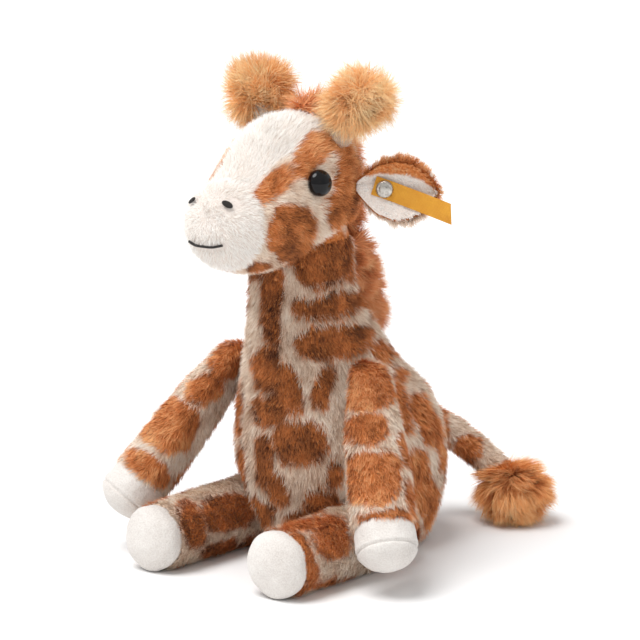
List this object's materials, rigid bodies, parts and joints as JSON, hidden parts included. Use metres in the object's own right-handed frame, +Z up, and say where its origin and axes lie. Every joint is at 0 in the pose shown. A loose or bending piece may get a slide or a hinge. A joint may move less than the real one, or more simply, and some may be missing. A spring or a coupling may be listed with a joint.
{
  "type": "plush giraffe",
  "caption": "Seated plush giraffe with a patterned coat, stuffed arms and legs, cupped ears, round pompom horns, a mane and a tufted tail.",
  "frame": {"origin": "middle of the flat seat on which the giraffe sits", "axes": "+Z up; the giraffe faces -Y; its own left is +X"},
  "size_m": [0.162, 0.192, 0.2205],
  "materials": {
    "patterned_plush": "orange-brown patches on cream short pile",
    "cream_plush": "cream short pile",
    "white_plush": "off-white short pile",
    "golden_pile": "golden-brown long pile",
    "mane_pile": "brown long pile",
    "suede": "pale grey-white brushed suede cloth",
    "stuffing": "white polyester fibre",
    "gloss_black": "glossy black",
    "washer_plastic": "white moulded",
    "black_thread": "satin-stitched thread",
    "nickel": "pale nickel plating",
    "yellow_ribbon": "woven ribbon, bare"
  },
  "bodies": {
    "body": {"body_cover": "patterned_plush", "body_filling": "stuffing", "mane_neck": "mane_pile"},
    "head": {"head_cover": "patterned_plush", "forehead_panel": "cream_plush", "muzzle_cover": "white_plush", "head_filling": "stuffing", "eye_left": "gloss_black", "eye_right": "gloss_black", "eye_washer_left": "washer_plastic", "eye_washer_right": "washer_plastic", "nostril_left": "black_thread", "nostril_right": "black_thread", "mouth_embroidery": "black_thread", "horn_stem_left": "cream_plush", "horn_stem_right": "cream_plush", "horn_pompom_left": "golden_pile", "horn_pompom_right": "golden_pile", "mane_head": "mane_pile"},
    "arm_left": {"arm_cover_left": "patterned_plush", "arm_hoof_cap_left": "suede", "arm_filling_left": "stuffing"},
    "arm_right": {"arm_cover_right": "patterned_plush", "arm_hoof_cap_right": "suede", "arm_filling_right": "stuffing"},
    "leg_left": {"leg_cover_left": "patterned_plush", "leg_hoof_cap_left": "suede", "leg_filling_left": "stuffing"},
    "leg_right": {"leg_cover_right": "patterned_plush", "leg_hoof_cap_right": "suede", "leg_filling_right": "stuffing"},
    "ear_left": {"ear_back_left": "patterned_plush", "ear_lining_left": "white_plush", "ear_rivet": "nickel", "ear_rivet_back": "nickel", "ear_ribbon": "yellow_ribbon"},
    "ear_right": {"ear_back_right": "patterned_plush", "ear_lining_right": "white_plush"},
    "tail": {"tail_cover": "patterned_plush", "tail_filling": "stuffing", "tail_tuft": "golden_pile"}
  },
  "joints": [
    {"name": "head_turn", "type": "hinge", "parent": "body", "child": "head", "pos_m": [0, -0.029, 0.1415], "axis": [0, 0, 1], "range_deg": [-35, 35]},
    {"name": "arm_left_swing", "type": "hinge", "parent": "body", "child": "arm_left", "pos_m": [0.03673, -0.03, 0.08282], "axis": [-0.9483, 0, -0.3173], "range_deg": [-50, 50]},
    {"name": "arm_right_swing", "type": "hinge", "parent": "body", "child": "arm_right", "pos_m": [-0.03673, -0.03, 0.08282], "axis": [-0.9483, 0, 0.3173], "range_deg": [-58, 42]},
    {"name": "leg_left_swing", "type": "hinge", "parent": "body", "child": "leg_left", "pos_m": [0.035, -0.013, 0.0147], "axis": [-1, 0, 0], "range_deg": [-60, 10]},
    {"name": "leg_right_swing", "type": "hinge", "parent": "body", "child": "leg_right", "pos_m": [-0.035, -0.013, 0.0147], "axis": [-1, 0, 0], "range_deg": [-60, 10]},
    {"name": "ear_left_swing", "type": "hinge", "parent": "head", "child": "ear_left", "pos_m": [0.02611, -0.02279, 0.16853], "axis": [0.0604, 0.0349, 0.9976], "range_deg": [-25, 25]},
    {"name": "ear_right_swing", "type": "hinge", "parent": "head", "child": "ear_right", "pos_m": [-0.02611, -0.02279, 0.16853], "axis": [-0.0604, 0.0349, 0.9976], "range_deg": [-25, 25]},
    {"name": "tail_swing", "type": "hinge", "parent": "body", "child": "tail", "pos_m": [0, 0.05543, 0.048], "axis": [0, 0, 1], "range_deg": [-15, 75]}
  ]
}
